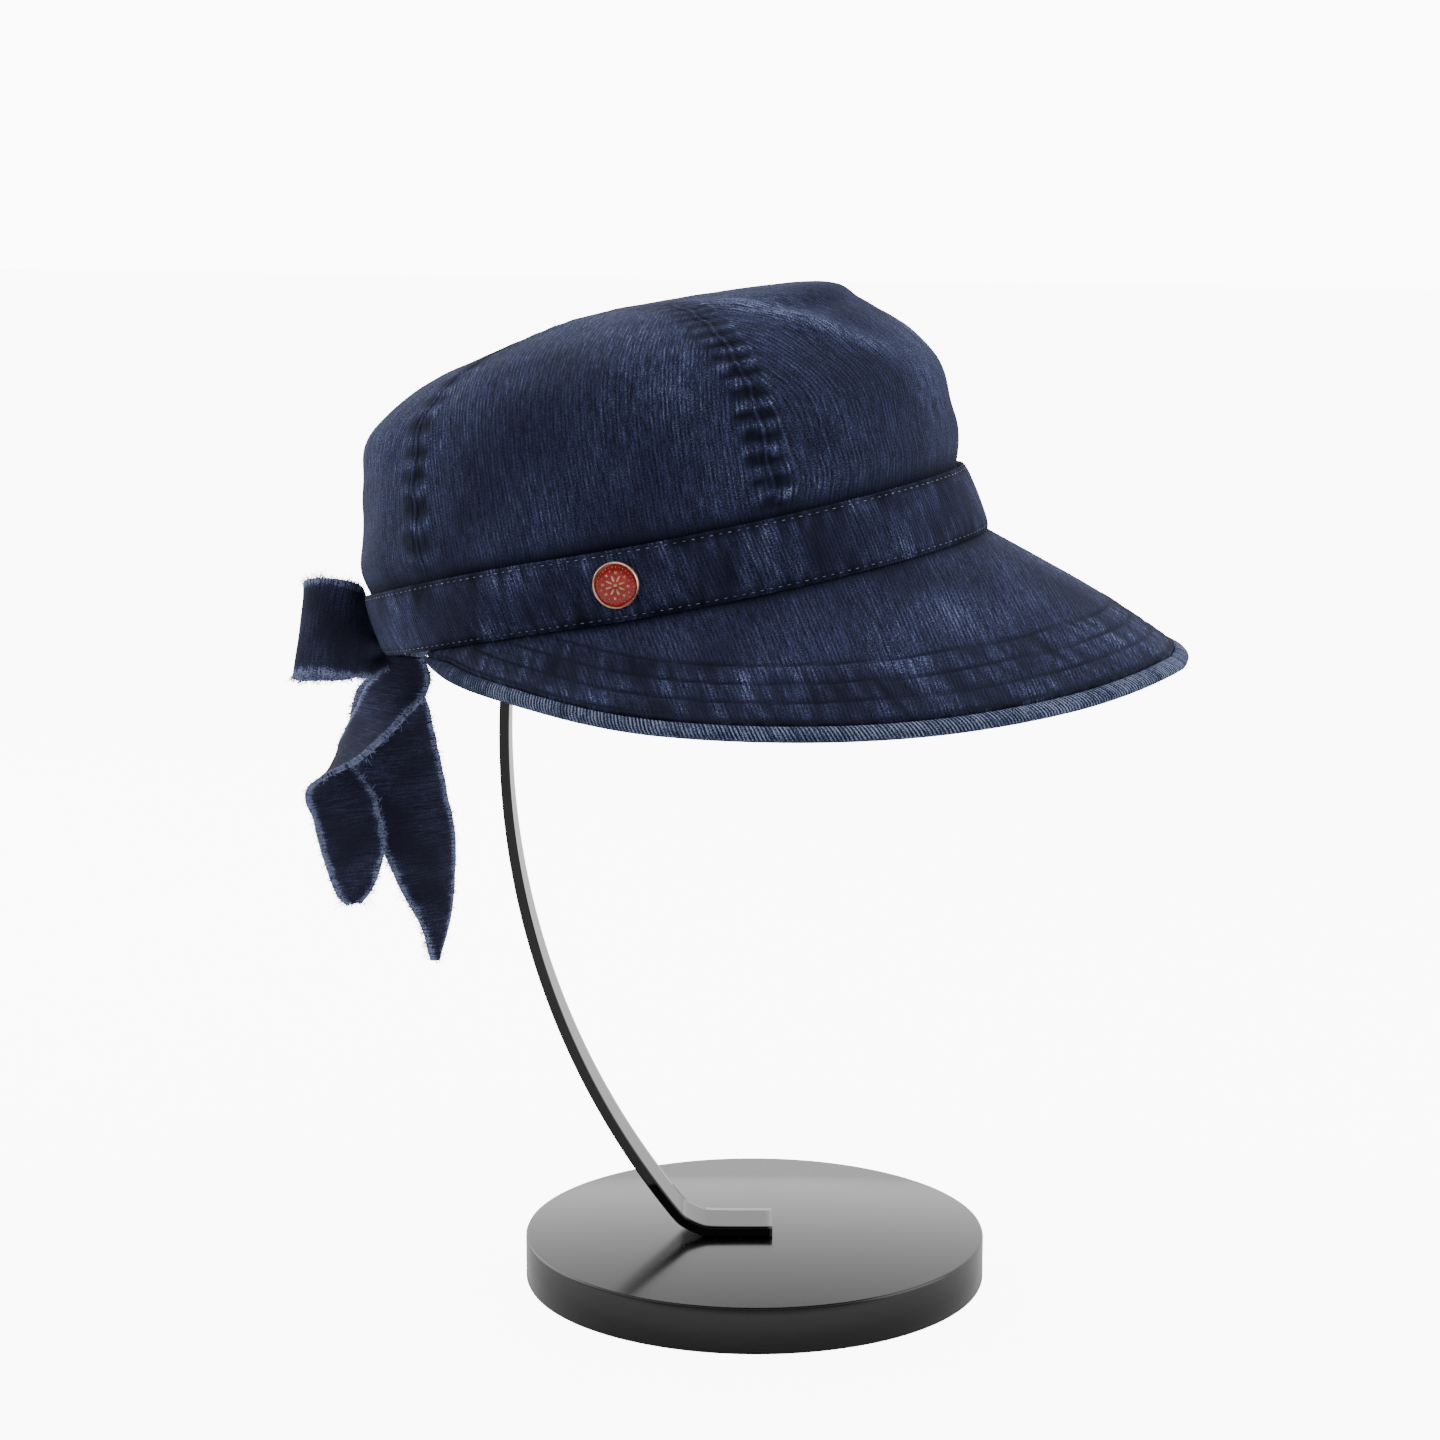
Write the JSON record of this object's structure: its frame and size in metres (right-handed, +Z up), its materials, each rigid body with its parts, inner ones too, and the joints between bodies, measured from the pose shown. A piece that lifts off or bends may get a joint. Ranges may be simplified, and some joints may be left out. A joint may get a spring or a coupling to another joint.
{
  "type": "cap on display stand",
  "caption": "Soft washed-denim cap with a wide wrap-round peak, a band, a raw-edged bow at the back and an enamel badge, held on a bent-strip display stand.",
  "frame": {"origin": "on the floor under the middle of the stand's round base", "axes": "+Z up, +X towards the front of the cap, +Y towards the wearer's left"},
  "size_m": [0.2806, 0.242, 0.322],
  "materials": {
    "denim": "washed navy denim, fine twill",
    "denim_edge": "faded denim on the rolled edge",
    "pale_gold": "pale rose gold, satin",
    "red_enamel": "red enamel, gloss",
    "black_gloss": "black, high gloss"
  },
  "bodies": {
    "root": {"crown": "denim", "band": "denim", "peak": "denim", "peak_lip": "denim_edge", "badge_rim": "pale_gold", "badge_enamel": "red_enamel", "badge_rosette": "pale_gold", "bow_knot": "denim", "bow_loop_near": "denim", "bow_loop_far": "denim", "bow_tail_near": "denim", "bow_tail_far": "denim", "stand_strip": "black_gloss", "stand_base": "black_gloss"}
  },
  "joints": []
}
